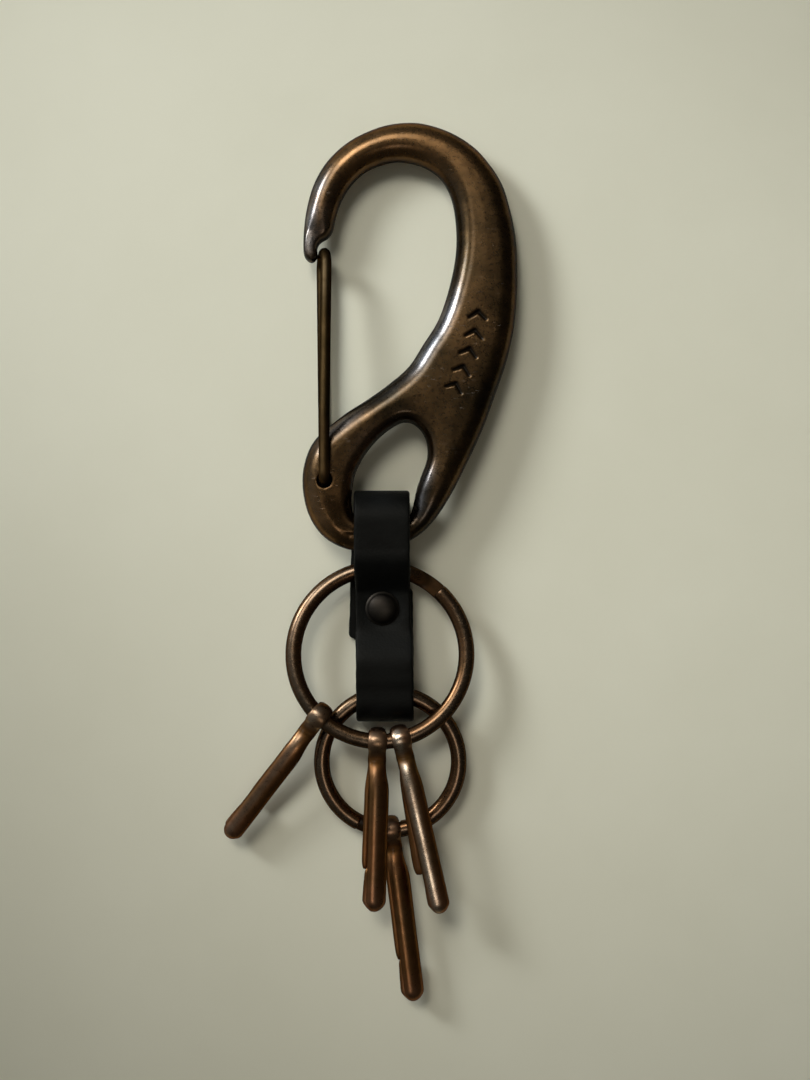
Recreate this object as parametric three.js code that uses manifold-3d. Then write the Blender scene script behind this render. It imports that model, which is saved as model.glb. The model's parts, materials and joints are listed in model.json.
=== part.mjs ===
// A carabiner keyring lying flat: a cast hook with a wire gate, a riveted leather strap,
// two split rings and four key hooks. Millimetres, +Y towards the hook's crown, +Z up.
// Everything is drawn about a working origin between the strap and the hook, and the
// whole assembly is moved at the end so that its box stands centred on the origin.
import * as THREE from "three";
import Module from "manifold-3d";
import { mergeVertices } from "three/addons/utils/BufferGeometryUtils.js";

const wasm = await Module();
wasm.setup();

// ---- driving dimensions -------------------------------------------------------------
const GAP = 0.3;                 // running clearance between neighbouring pieces

const BODY_HALF = 3.2;           // half thickness of the cast hook where it is fattest
const BODY_THIN = 1.7;           // half thickness at the tip of the nose
const BODY_ROUND = 3.1;          // widest rounding of an outer edge
const BAR = { x: -4, y: 1, reach: 6.8, half: 2.4 };   // the slimmer bar that the strap goes round
const EYE_ROUND = 1.9;           // rounding of the eye's rim
const BODY_PITCH = -2.15;        // degrees: the crown rests lower than the strap end
const BODY_LIFT = 6.2;           // height of the hook's middle plane at y = 0

const GATE_WIRE = 0.95;          // radius of the gate's wire
const GATE_FRONT = [-14.0, 10.3];
const GATE_BACK = [-14.5, 8.8];
const GATE_TIP = 51.6;           // y of the outside of the gate's bend
const GATE_TIP_FRONT = [-13.8, 2.1];   // x and height of each leg where it meets the bend
const GATE_TIP_BACK = [-14.8, -3.0];
const GATE_STRAIGHT = 11.5;      // length of each leg that runs level with the lobe
const GATE_STAND = 0.25;         // how far each leg stands off the lobe's face
const GATE_HOLE = 1.35;          // radius of the two blind holes
const GATE_HOLE_DEPTH = 2.4;

const STRAP_WIDTH = 9.7;
const LEATHER = 1.8;             // thickness of the strip
const STRAP_X = -4.0;
const STRAP_TOP = 8.8;           // y of the outside of the fold through the eye
const STRAP_END = -32.2;         // y of the outside of the lower fold
const TAB_END = -17.6;           // y where the hidden first end stops
const RETURN_END = -8.4;         // y where the second end stops, above the rivet
const UPPER_LOOP = 3.6;          // half the clear height of the loop round the bar
const LOWER_LOOP = 2.25;         // half the clear height of the loop round the small ring

const RIVET_Y = -12.0;
const RIVET_RADIUS = 3.0;
const RIVET_STEM = 2.0;
const RIVET_PIN = 1.1;

const COIL_WIDTH = 2.75;         // radial width of a split ring's half-round strip
const COIL_LEVEL = 0.375;        // height of each coil's widest line from the ring's middle
const COIL_CROWN = 1.0;          // from the widest line out to the coil's round face
const COIL_FLAT = 0.3;           // and in to its flat face
const LARGE_RING = { radius: 15.2, x: -4.4, y: -5.0, z: 3.5, slope: 7.8, notch: 46 };
const SMALL_RING = { radius: 12.1, x: -2.6, y: -27.1, z: 4.05, slope: -2.3, notch: -118 };

const HOOK_WIDTH = 3.65;
const EYE_BORE = 1.7;            // radius of the key hook's own eye
const EYE_STRIP = 0.8;           // thickness of the strip round it

// ---- colours ------------------------------------------------------------------------
const BRONZE = { color: 0x4a3b2e, roughness: 0.42, metalness: 0.9 };
const GATE_BRASS = { color: 0x7a6240, roughness: 0.35, metalness: 0.9 };
const COPPER = { color: 0x6b4634, roughness: 0.35, metalness: 0.9 };
const LEATHER_BLACK = { color: 0x16191a, roughness: 0.6, metalness: 0.0 };
const RIVET_DARK = { color: 0x2a2420, roughness: 0.4, metalness: 0.8 };

// ---- general geometry ---------------------------------------------------------------
const radians = THREE.MathUtils.degToRad;

// A closed solid through a row of matching cross sections, capped at both ends.
function loft(sections) {
  const size = sections[0].length;
  const positions = sections.flat().flatMap((p) => [p.x, p.y, p.z]);
  const index = [];
  for (let row = 0; row + 1 < sections.length; row += 1) {
    for (let k = 0; k < size; k += 1) {
      const a = row * size + k;
      const b = row * size + ((k + 1) % size);
      index.push(a, b, b + size, a, b + size, a + size);
    }
  }
  const last = (sections.length - 1) * size;
  for (let k = 1; k + 1 < size; k += 1) {
    index.push(0, k + 1, k);
    index.push(last, last + k, last + k + 1);
  }
  const geometry = new THREE.BufferGeometry();
  geometry.setAttribute("position", new THREE.Float32BufferAttribute(positions, 3));
  geometry.setIndex(index);
  return geometry;
}

// A strip or wire along points. side is the section's first axis at the start, and
// sectionAt(i) gives the section's points as [along side, across it].
function sweep(points, side, sectionAt) {
  const across = side.clone();
  const sections = points.map((point, i) => {
    const before = points[Math.max(i - 1, 0)];
    const after = points[Math.min(i + 1, points.length - 1)];
    const tangent = after.clone().sub(before).normalize();
    across.addScaledVector(tangent, -across.dot(tangent)).normalize();
    const up = tangent.clone().cross(across);
    return sectionAt(i).map(([a, b]) =>
      point.clone().addScaledVector(across, a).addScaledVector(up, b));
  });
  return loft(sections);
}

// Points of an oval section, squarer as power grows.
function oval(width, height, count, power = 2) {
  return Array.from({ length: count }, (_, k) => {
    const angle = (2 * Math.PI * (k + 0.5)) / count;
    const c = Math.cos(angle);
    const s = Math.sin(angle);
    const x = Math.sign(c) * Math.abs(c) ** (2 / power);
    const y = Math.sign(s) * Math.abs(s) ** (2 / power);
    return [(x * width) / 2, (y * height) / 2];
  });
}

// A smooth step from one height to another between two places.
function ease(from, to, t) {
  const s = THREE.MathUtils.smoothstep(t, 0, 1);
  return from + (to - from) * s;
}

function toSolid(geometry) {
  const bare = geometry.clone();
  bare.deleteAttribute("normal");
  bare.deleteAttribute("uv");
  const merged = mergeVertices(bare, 1e-5);
  const vertProperties = new Float32Array(merged.attributes.position.array);
  const triVerts = new Uint32Array(merged.index.array);
  return new wasm.Manifold(new wasm.Mesh({ numProp: 3, vertProperties, triVerts }));
}

function fromSolid(solid) {
  const mesh = solid.getMesh();
  const geometry = new THREE.BufferGeometry();
  geometry.setAttribute("position", new THREE.BufferAttribute(mesh.vertProperties, 3));
  geometry.setIndex(new THREE.BufferAttribute(mesh.triVerts, 1));
  return geometry;
}

function cut(geometry, tools) {
  const solid = tools.reduce((rest, tool) => rest.subtract(toSolid(tool)), toSolid(geometry));
  return fromSolid(solid);
}

// An upright cylinder between two heights.
function pillar(x, y, radius, low, high, sides = 24) {
  const geometry = new THREE.CylinderGeometry(radius, radius, high - low, sides);
  geometry.rotateX(Math.PI / 2);
  geometry.translate(x, y, (low + high) / 2);
  return geometry;
}

function piece(name, geometry, look) {
  const shaded = geometry.toNonIndexed();
  shaded.computeVertexNormals();
  const mesh = new THREE.Mesh(shaded, new THREE.MeshStandardMaterial(look));
  mesh.name = name;
  return mesh;
}

// ---- the cast hook ------------------------------------------------------------------
// The outline runs from the nose's tip up its outer side, over the crown, down the
// spine, under the bar, up round the lobe and back along the hook's inner side.
const HOOK_OUTLINE = [
  [-16.5, 48.9], [-17.6, 49.7], [-17.9, 53.0], [-17.4, 58.1], [-16.0, 63.0], [-13.6, 67.0],
  [-10.0, 70.3], [-5.7, 72.5], [-2.1, 73.5], [1.9, 73.7], [5.4, 73.0], [9.2, 71.4],
  [12.6, 69.0], [15.1, 66.1], [17.1, 62.9], [18.5, 58.5], [19.5, 53.5], [19.8, 48.3],
  [19.7, 42.5], [19.1, 36.8], [17.8, 31.2], [15.9, 25.6], [13.7, 19.6], [10.9, 13.5],
  [8.0, 7.8], [5.0, 3.3], [2.1, 0.6], [-1.8, -1.2], [-5.5, -1.9], [-8.7, -1.9],
  [-11.8, -1.0], [-14.6, 0.9], [-16.7, 4.0], [-17.8, 7.9], [-17.9, 12.0], [-16.8, 15.9],
  [-15.1, 18.4], [-13.0, 20.2], [-10.3, 22.3], [-6.7, 24.6], [-3.2, 27.1], [0.6, 30.4],
  [3.2, 34.4], [5.8, 38.6], [7.8, 44.5], [8.9, 50.1], [9.0, 55.1], [8.1, 60.4],
  [6.3, 63.7], [4.0, 65.5], [1.3, 66.5], [-1.6, 66.8], [-4.7, 66.1], [-7.4, 64.7],
  [-9.8, 62.2], [-11.4, 59.3], [-12.3, 56.4], [-12.7, 54.5], [-13.5, 53.3], [-14.9, 52.4],
  [-15.45, 51.4], [-15.45, 49.7],
];
// The eye is a leaning teardrop, with a broad foot for the strap.
const EYE_OUTLINE = [
  [-0.3, 20.6], [-2.4, 19.6], [-5.0, 17.4], [-7.2, 14.6], [-8.7, 11.6], [-9.3, 8.4],
  [-9.3, 5.6], [-8.8, 4.2], [-7.6, 3.6], [-4.0, 3.5], [-0.6, 3.6], [0.8, 4.3],
  [1.4, 6.0], [2.0, 8.8], [2.9, 11.4], [3.9, 14.4], [3.8, 17.0], [2.9, 19.0], [1.3, 20.4],
];

// The outline as evenly spaced points with the inward normal at each.
function boundary(outline, count, inwardSign) {
  const corners = outline.map(([x, y]) => new THREE.Vector3(x, y, 0));
  const curve = new THREE.CatmullRomCurve3(corners, true, "centripetal");
  const points = curve.getSpacedPoints(count).slice(0, count);
  return points.map((point, i) => {
    const before = points[(i + count - 1) % count];
    const after = points[(i + 1) % count];
    const along = after.clone().sub(before).normalize();
    const inward = new THREE.Vector3(along.y, -along.x, 0).multiplyScalar(inwardSign);
    return { point, inward };
  });
}

// The radius of the largest circle that touches the wall at this place from inside.
function room(place, walls) {
  let smallest = Infinity;
  for (const other of walls) {
    const offset = other.point.clone().sub(place.point);
    const depth = offset.dot(place.inward);
    if (depth > 1e-6) smallest = Math.min(smallest, offset.lengthSq() / (2 * depth));
  }
  return smallest;
}

function smoothed(values, passes) {
  let result = values;
  for (let pass = 0; pass < passes; pass += 1) {
    result = result.map((value, i) => {
      const before = result[(i + result.length - 1) % result.length];
      const after = result[(i + 1) % result.length];
      return Math.min(value, (before + 2 * value + after) / 4);
    });
  }
  return result;
}

function hookGeometry() {
  const outerCount = 120;
  const eyeCount = 40;
  const edgeAngles = [0, 32, 62, 90].map(radians);
  const outer = boundary(HOOK_OUTLINE, outerCount, 1);
  const eye = boundary(EYE_OUTLINE, eyeCount, 1);
  const walls = [...outer, ...eye];

  const rims = [[outer, BODY_ROUND], [eye, EYE_ROUND]].map(([places, widest]) => {
    const rooms = places.map((place) => room(place, walls));
    const rounds = smoothed(rooms.map((r) => Math.min(widest, 0.88 * r)), 4);
    const heights = smoothed(places.map(({ point }, i) => {
      const fromBar = Math.hypot(point.x - BAR.x, point.y - BAR.y);
      const widest = Math.min(BODY_HALF, BAR.half + 0.5 * Math.max(0, fromBar - BAR.reach));
      return THREE.MathUtils.clamp(0.6 + 0.85 * rooms[i], BODY_THIN, widest);
    }), 3);
    return edgeAngles.map((angle) => places.map(({ point, inward }, i) => {
      const edge = point.clone().addScaledVector(inward, rounds[i] * (1 - Math.cos(angle)));
      return edge.setZ(heights[i] * Math.sin(angle));
    }));
  });

  const positions = [];
  const index = [];
  const place = (p) => positions.push(p.x, p.y, p.z) / 3 - 1;
  const strip = (low, high, flip) => {
    for (let k = 0; k < low.length; k += 1) {
      const next = (k + 1) % low.length;
      const quad = [low[k], low[next], high[next], low[k], high[next], high[k]];
      index.push(...(flip ? quad.reverse() : quad));
    }
  };
  const below = (p) => new THREE.Vector3(p.x, p.y, -p.z);
  const brims = rims.map((rows) => {
    const middle = rows[0].map(place);
    const tops = [middle, ...rows.slice(1).map((row) => row.map(place))];
    const bottoms = [middle, ...rows.slice(1).map((row) => row.map((p) => place(below(p))))];
    for (let level = 0; level + 1 < tops.length; level += 1) {
      strip(tops[level], tops[level + 1], true);
      strip(bottoms[level], bottoms[level + 1], false);
    }
    return { flat: rows.at(-1), top: tops.at(-1), bottom: bottoms.at(-1) };
  });
  const [shell, hole] = brims;
  const flat = THREE.ShapeUtils.triangulateShape(shell.flat, [hole.flat]);
  const flatPoint = (i) => (i < outerCount ? shell.flat[i] : hole.flat[i - outerCount]).clone().setZ(0);
  const top = [...shell.top, ...hole.top];
  const bottom = [...shell.bottom, ...hole.bottom];
  for (const [a, b, c] of flat) {
    const up = new THREE.Vector3().crossVectors(
      flatPoint(b).sub(flatPoint(a)), flatPoint(c).sub(flatPoint(a))).z > 0;
    index.push(...(up ? [top[a], top[b], top[c]] : [top[a], top[c], top[b]]));
    index.push(...(up ? [bottom[a], bottom[c], bottom[b]] : [bottom[a], bottom[b], bottom[c]]));
  }
  const geometry = new THREE.BufferGeometry();
  geometry.setAttribute("position", new THREE.Float32BufferAttribute(positions, 3));
  geometry.setIndex(index);

  const floor = BODY_HALF - GATE_HOLE_DEPTH;
  const [fx, fy] = GATE_FRONT;
  const [bx, by] = GATE_BACK;
  return cut(geometry, [
    pillar(fx, fy, GATE_HOLE, floor, BODY_HALF + 1),
    pillar(bx, by, GATE_HOLE, -BODY_HALF - 1, -floor),
  ]);
}

// ---- the wire gate ------------------------------------------------------------------
// One wire: out of the front hole, up the front leg, round the bend inside the nose's
// notch, down the back leg and into the back hole.
function gateGeometry() {
  const legHeight = BODY_HALF + GATE_STAND + GATE_WIRE;
  const bendRadius = 1.3;
  const holeReach = BODY_HALF - GATE_HOLE_DEPTH + GAP;
  const [fx, fy] = GATE_FRONT;
  const [bx, by] = GATE_BACK;
  const tipFront = new THREE.Vector3(GATE_TIP_FRONT[0], 0, GATE_TIP_FRONT[1]);
  const tipBack = new THREE.Vector3(GATE_TIP_BACK[0], 0, GATE_TIP_BACK[1]);
  const tipMiddle = tipFront.clone().add(tipBack).multiplyScalar(0.5);
  const tipReach = tipFront.clone().sub(tipMiddle);
  const tipY = GATE_TIP - GATE_WIRE - tipReach.length();

  // From inside a hole round the foot's bend and along the lobe, on one side.
  const foot = (x, y, sign) => {
    const points = [new THREE.Vector3(x, y, sign * holeReach)];
    for (let step = 0; step <= 4; step += 1) {
      const angle = (step / 4) * (Math.PI / 2);
      points.push(new THREE.Vector3(
        x,
        y + bendRadius * (1 - Math.cos(angle)),
        sign * (legHeight - bendRadius * (1 - Math.sin(angle)))));
    }
    points.push(new THREE.Vector3(x, y + GATE_STRAIGHT, sign * legHeight));
    return points;
  };
  const leg = (from, to) => [0.12, 0.35, 0.6, 0.85, 1].map((t) => from.clone().lerp(to, t));
  const front = foot(fx, fy, 1);
  const back = foot(bx, by, -1);
  const bend = Array.from({ length: 9 }, (_, step) => {
    const angle = ((step + 0.5) / 9) * Math.PI;
    const point = tipMiddle.clone().addScaledVector(tipReach, Math.cos(angle));
    return point.setY(tipY + tipReach.length() * Math.sin(angle));
  });
  const path = [
    ...front,
    ...leg(front.at(-1), tipFront.clone().setY(tipY)),
    ...bend,
    ...leg(back.at(-1), tipBack.clone().setY(tipY)).reverse(),
    ...back.reverse(),
  ];
  const section = oval(2 * GATE_WIRE, 2 * GATE_WIRE, 10);
  return sweep(path, new THREE.Vector3(1, 0, 0), () => section);
}

// ---- the strap ----------------------------------------------------------------------
// Its route is worked out in the upright plane along it, from the first end, hidden
// behind, up through the eye, down the front, round the small ring and back up.
function strapRoute() {
  const half = LEATHER / 2;
  const upperRadius = UPPER_LOOP + half;
  const lowerRadius = LOWER_LOOP + half;
  const topY = STRAP_TOP - half - upperRadius;
  const endY = STRAP_END + half + lowerRadius;
  const frontHigh = half + 2 * upperRadius;
  const returnHigh = half + LEATHER + GAP;
  const frontLow = returnHigh + LEATHER + GAP;
  const lowerHigh = half + 2 * lowerRadius;
  const route = [];
  const add = (y, z) => route.push(new THREE.Vector3(0, y, z));
  const slope = (y0, z0, y1, z1, steps) => {
    for (let step = 0; step <= steps; step += 1) {
      const t = step / steps;
      add(y0 + (y1 - y0) * t, ease(z0, z1, t));
    }
  };
  const fold = (y, z, radius, start, turn, steps) => {
    for (let step = 1; step < steps; step += 1) {
      const angle = start + (turn * step) / steps;
      add(y + radius * Math.cos(angle), z + radius * Math.sin(angle));
    }
  };
  add(TAB_END, half);
  add(RIVET_Y, half);
  add(topY - 4, half);
  add(topY, half);
  fold(topY, half + upperRadius, upperRadius, -Math.PI / 2, Math.PI, 10);
  add(topY, frontHigh);
  slope(-2.6, frontHigh, -9.4, frontLow, 8);
  slope(-14.9, frontLow, -22.0, lowerHigh, 5);
  add(endY, lowerHigh);
  fold(endY, half + lowerRadius, lowerRadius, Math.PI / 2, Math.PI, 9);
  add(endY, half);
  slope(-22.8, half, -17.9, returnHigh, 6);
  add(RIVET_Y, returnHigh);
  add(RETURN_END, returnHigh);
  return route;
}

function strapGeometry() {
  const route = strapRoute();
  const lengths = route.map((p, i) => (i === 0 ? 0 : p.distanceTo(route[i - 1])));
  const whole = lengths.reduce((sum, length) => sum + length, 0);
  let travelled = 0;
  const points = route.map((p, i) => {
    travelled += lengths[i];
    const t = travelled / whole;
    const skew = ease(-0.8, 0, t / 0.35) + ease(0, 0.35, (t - 0.4) / 0.3);
    return p.clone().setX(STRAP_X + skew);
  });
  const section = oval(STRAP_WIDTH, LEATHER, 12, 7);
  const strip = sweep(points, new THREE.Vector3(1, 0, 0), () => section);
  const top = 3 * LEATHER + 2 * GAP;
  const recess = 0.6;
  const seat = RIVET_RADIUS + GAP;
  return cut(strip, [
    pillar(STRAP_X, RIVET_Y, RIVET_STEM + GAP, -1, top + 1),
    pillar(STRAP_X, RIVET_Y, seat, top - recess, top + 1, 32),
    pillar(STRAP_X, RIVET_Y, seat, -1, recess + GAP, 32),
  ]);
}

// ---- the rivet ----------------------------------------------------------------------
function turned(profile, sides) {
  const geometry = new THREE.LatheGeometry(profile.map(([r, z]) => new THREE.Vector2(r, z)), sides);
  geometry.rotateX(Math.PI / 2);
  geometry.translate(STRAP_X, RIVET_Y, 0);
  return geometry;
}

const RIVET_SEAT = 3 * LEATHER + 2 * GAP - 0.3;   // underside of the cap's rim
const RIVET_FOOT = 0.6;                           // thickness of the post's head

function rivetCapGeometry() {
  const bore = RIVET_PIN + GAP;
  return turned([
    [0, RIVET_SEAT - 0.1], [bore, RIVET_SEAT - 0.1], [bore, RIVET_FOOT + GAP],
    [RIVET_STEM, RIVET_FOOT + GAP], [RIVET_STEM, RIVET_SEAT], [RIVET_RADIUS - 0.1, RIVET_SEAT],
    [RIVET_RADIUS, RIVET_SEAT + 0.15], [2.75, RIVET_SEAT + 0.6], [2.1, RIVET_SEAT + 1.05],
    [1.1, RIVET_SEAT + 1.35], [0, RIVET_SEAT + 1.42],
  ], 28);
}

function rivetPostGeometry() {
  return turned([
    [0, 0], [RIVET_RADIUS - 0.3, 0], [RIVET_RADIUS, 0.2], [RIVET_RADIUS, 0.45],
    [RIVET_RADIUS - 0.15, RIVET_FOOT], [RIVET_PIN, RIVET_FOOT], [RIVET_PIN, RIVET_SEAT - 0.6],
    [RIVET_PIN - 0.2, RIVET_SEAT - 0.4], [0, RIVET_SEAT - 0.4],
  ], 28);
}

// ---- the split rings ----------------------------------------------------------------
// Two coils of one strip. The strip steps down to the second coil in the short gap
// between the first coil's start and the second coil's end.
function splitRingGeometry(ring, stepDegrees) {
  const endGap = 6;
  const stepDown = 26;
  const firstTurn = 360 - endGap - stepDown;
  const whole = 2 * firstTurn + stepDown;
  const count = Math.round(whole / stepDegrees);
  const stages = Array.from({ length: count + 1 }, (_, i) => {
    const travelled = (whole * i) / count;
    const angle = radians(ring.notch - travelled);
    const side = ease(1, -1, (travelled - firstTurn) / stepDown);
    const point = new THREE.Vector3(
      ring.radius * Math.cos(angle), ring.radius * (Math.sin(angle) - 1), COIL_LEVEL * side);
    return { point, side };
  });
  const round = oval(2, COIL_WIDTH, 12);
  const halfRound = (side) => {
    const above = ease(COIL_FLAT, COIL_CROWN, (1 + side) / 2);
    const below = ease(COIL_FLAT, COIL_CROWN, (1 - side) / 2);
    return round.map(([up, out]) => [up * (up > 0 ? above : below), out]);
  };
  const points = stages.map(({ point }) => point);
  return sweep(points, new THREE.Vector3(0, 0, 1), (i) => halfRound(stages[i].side));
}

// ---- the key hooks ------------------------------------------------------------------
// One strip bent in its own plane: a spring tongue below, the eye, a pinched neck, the
// straight main leg above, the end's bend and a short return tip inside the tongue.
// Each row is [along, up, thickness, width].
function keyHookRows(length) {
  const ringRadius = EYE_BORE + EYE_STRIP / 2;
  const legUp = 1.62;
  const returnUp = -0.45;
  const tongueUp = -1.9;
  const bend = (legUp - returnUp) / 2;
  const bendAt = length - bend - 0.8;
  const tongue = [
    [bendAt - 5.3, tongueUp, 0.7, 2.4], [bendAt - 6.1, tongueUp, 0.9, 2.9],
    [bendAt - 14, tongueUp, 0.95, 3.0], [7.8, tongueUp, 0.95, 3.0], [5.6, -1.7, 0.9, 3.0],
    [4.2, -1.2, 0.85, 3.0], [3.1, -0.85, 0.85, 3.1],
  ];
  const eye = Array.from({ length: 15 }, (_, step) => {
    const around = radians(44 + (272 * step) / 14);
    const width = 2.3 + 1.1 * Math.abs(Math.sin(around));
    return [ringRadius * Math.cos(around), -ringRadius * Math.sin(around), EYE_STRIP, width];
  });
  const leg = [
    [3.1, 0.88, 1.05, 3.2], [4.2, 1.12, 1.3, 3.1], [5.8, 1.45, 1.5, 3.2],
    [7.8, legUp, 1.6, HOOK_WIDTH], [bendAt - 10, legUp, 1.6, HOOK_WIDTH],
    [bendAt, legUp, 1.6, HOOK_WIDTH],
  ];
  const end = Array.from({ length: 7 }, (_, step) => {
    const angle = Math.PI / 2 - (Math.PI * (step + 1)) / 8;
    const middle = (legUp + returnUp) / 2;
    const width = HOOK_WIDTH - 0.9 * Math.cos(angle) ** 2;
    return [bendAt + bend * Math.cos(angle), middle + bend * Math.sin(angle), 1.6, width];
  });
  const tip = [
    [bendAt, returnUp, 1.4, HOOK_WIDTH], [bendAt - 3.6, returnUp, 1.3, 3.2],
    [bendAt - 5.0, returnUp, 1.1, 2.9], [bendAt - 5.5, returnUp, 0.8, 2.4],
  ];
  return [...tongue, ...eye, ...leg, ...end, ...tip];
}

// Past its neck a hook is twisted about its own length, and shift moves the tongue's
// free end sideways, as a bent one lies.
function keyHookGeometry({ length, twist, shift }) {
  const rows = keyHookRows(length);
  const points = rows.map(([along, up], i) => {
    const free = i < 4 ? THREE.MathUtils.clamp((along - 4) / 18, 0, 1) : 0;
    return new THREE.Vector3(shift * free, -along, up);
  });
  const section = (i) => oval(rows[i][3], rows[i][2], 10, 2.15);
  const geometry = sweep(points, new THREE.Vector3(1, 0, 0), section);
  const places = geometry.attributes.position;
  const axis = new THREE.Vector3(0, 1, 0);
  for (let i = 0; i < places.count; i += 1) {
    const place = new THREE.Vector3().fromBufferAttribute(places, i);
    place.applyAxisAngle(axis, radians(ease(0, twist, (-place.y - 3) / 6)));
    places.setXYZ(i, place.x, place.y, place.z);
  }
  return geometry;
}

// ---- assembly -----------------------------------------------------------------------
const keyring = new THREE.Group();

const carabiner = new THREE.Group();
carabiner.rotation.x = radians(BODY_PITCH);
carabiner.position.z = BODY_LIFT;
carabiner.add(piece("carabiner_body", hookGeometry(), BRONZE));
carabiner.add(piece("wire_gate", gateGeometry(), GATE_BRASS));
keyring.add(carabiner);

keyring.add(piece("leather_strap", strapGeometry(), LEATHER_BLACK));
keyring.add(piece("rivet_cap", rivetCapGeometry(), RIVET_DARK));
keyring.add(piece("rivet_post", rivetPostGeometry(), RIVET_DARK));

// A split ring hangs from the middle of its wire at the top; slope lifts its far side.
function placeRing(name, ring, stepDegrees) {
  const mesh = piece(name, splitRingGeometry(ring, stepDegrees), COPPER);
  mesh.position.set(ring.x, ring.y, ring.z);
  mesh.rotation.x = -radians(ring.slope);
  keyring.add(mesh);
}
placeRing("large_split_ring", LARGE_RING, 8);
placeRing("small_split_ring", SMALL_RING, 9);

// Where a hook's eye sits on a ring, at an angle from the ring's lowest point.
function onRing(ring, degrees) {
  const angle = radians(degrees);
  const reach = ring.radius * (1 + Math.cos(angle));
  return new THREE.Vector3(
    ring.x + ring.radius * Math.sin(angle),
    ring.y - reach * Math.cos(radians(ring.slope)),
    ring.z + reach * Math.sin(radians(ring.slope)));
}

// heading turns a hook left or right, pitch lowers its end, lean rolls it about itself.
// length runs from the middle of the eye to the end of the bend.
const KEY_HOOKS = [
  {
    name: "key_hook_left", ring: LARGE_RING, at: -44.4,
    heading: -37.2, pitch: 8.6, lean: -4, length: 27.2, twist: 10, shift: 0,
  },
  {
    name: "key_hook_middle", ring: LARGE_RING, at: -1.6,
    heading: -1.6, pitch: 0, lean: 2, length: 29.5, twist: 18, shift: -0.2,
  },
  {
    name: "key_hook_right", ring: LARGE_RING, at: 14,
    heading: 12.8, pitch: -0.3, lean: 4, length: 31.0, twist: 4, shift: -1.3,
  },
  {
    name: "key_hook_lower", ring: SMALL_RING, at: 0.6,
    heading: 7.2, pitch: -0.2, lean: 2, length: 30.3, twist: 18, shift: -0.2,
  },
];
for (const hook of KEY_HOOKS) {
  const mesh = piece(hook.name, keyHookGeometry(hook), COPPER);
  mesh.position.copy(onRing(hook.ring, hook.at));
  mesh.rotation.set(radians(hook.pitch), radians(hook.lean), radians(hook.heading), "ZXY");
  keyring.add(mesh);
}

// ---- origin: the middle of the box's underside --------------------------------------
const box = new THREE.Box3().setFromObject(keyring, true);
const centre = box.getCenter(new THREE.Vector3());
keyring.position.set(-centre.x, -centre.y, -box.min.z);

export default keyring;
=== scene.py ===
# The looks of a carabiner keyring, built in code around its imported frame: a cast bronze hook
# with a wire gate, a riveted leather strap, two split rings and four key hooks.
# Shapes are drawn in millimetres about HOME, and become metres as each piece is finished.
import json
import math

import bmesh
import bpy
import numpy as np
from mathutils import Matrix, Vector
from mathutils.geometry import tessellate_polygon
from mathutils.kdtree import KDTree


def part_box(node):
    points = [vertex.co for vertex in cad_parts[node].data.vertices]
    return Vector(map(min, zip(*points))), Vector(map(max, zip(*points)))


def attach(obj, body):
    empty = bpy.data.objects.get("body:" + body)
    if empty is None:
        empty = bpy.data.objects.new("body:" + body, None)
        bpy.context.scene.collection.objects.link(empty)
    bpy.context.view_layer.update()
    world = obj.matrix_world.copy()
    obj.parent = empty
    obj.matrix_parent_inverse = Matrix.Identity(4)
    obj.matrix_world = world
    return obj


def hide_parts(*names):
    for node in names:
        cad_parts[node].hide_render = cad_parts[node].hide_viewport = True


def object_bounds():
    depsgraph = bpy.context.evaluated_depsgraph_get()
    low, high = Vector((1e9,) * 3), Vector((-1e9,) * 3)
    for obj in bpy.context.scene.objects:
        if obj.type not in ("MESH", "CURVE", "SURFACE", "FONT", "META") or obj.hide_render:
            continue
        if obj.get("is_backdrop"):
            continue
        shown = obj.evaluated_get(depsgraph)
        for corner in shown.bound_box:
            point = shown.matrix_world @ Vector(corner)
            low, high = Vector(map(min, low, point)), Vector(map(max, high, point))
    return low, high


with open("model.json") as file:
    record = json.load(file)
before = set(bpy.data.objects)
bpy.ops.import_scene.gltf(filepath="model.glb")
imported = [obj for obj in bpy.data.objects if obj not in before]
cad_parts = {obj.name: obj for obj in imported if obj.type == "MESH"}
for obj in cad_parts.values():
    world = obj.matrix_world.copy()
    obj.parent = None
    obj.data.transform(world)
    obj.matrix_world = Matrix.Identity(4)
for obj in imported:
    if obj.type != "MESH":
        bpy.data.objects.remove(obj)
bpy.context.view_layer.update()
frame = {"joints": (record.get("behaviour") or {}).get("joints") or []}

MM = 0.001

# ---- driving dimensions, in millimetres ----------------------------------------------
BODY_HALF = 3.2            # half thickness of the cast hook where it is fattest
BODY_THIN = 1.7            # half thickness at the tip of the nose
BODY_ROUND = 3.1           # widest rounding of an outer edge
BAR = {"x": -4.0, "y": 1.0, "reach": 6.8, "half": 2.4}
EYE_ROUND = 1.9            # rounding of the eye's rim
NOSE_EDGE = {"x": -12.0, "y": 56.0}    # the nose's tip, below and left of here, has crisper edges
NOSE_FRONT = 2.3           # height of the tip's front face
BODY_PITCH = -2.15         # degrees
BODY_LIFT = 6.2
CAST_GRAIN = 0.18          # spacing of the cast hook's surface mesh

GATE_WIRE = 0.95
GATE_FRONT = (-14.0, 10.3)
GATE_BACK = (-14.5, 8.8)
GATE_TIP = 51.6
GATE_TIP_FRONT = (-13.8, 2.1)    # x and height of the front leg where it meets the bend
GATE_TIP_BACK = (-14.8, -3.0)
GATE_STRAIGHT = 11.5       # length of each leg that runs level with the lobe
GATE_STAND = 0.25
GATE_HOLE = 1.3
GATE_HOLE_DEPTH = 2.4
GATE_END_GAP = 0.75        # between the wire's ends and the holes' floors
GATE_END_TAPER = 0.14      # share that the wire is slimmer inside the holes
GATE_BEND = 1.3            # radius of each leg's bend out of its hole

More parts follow.
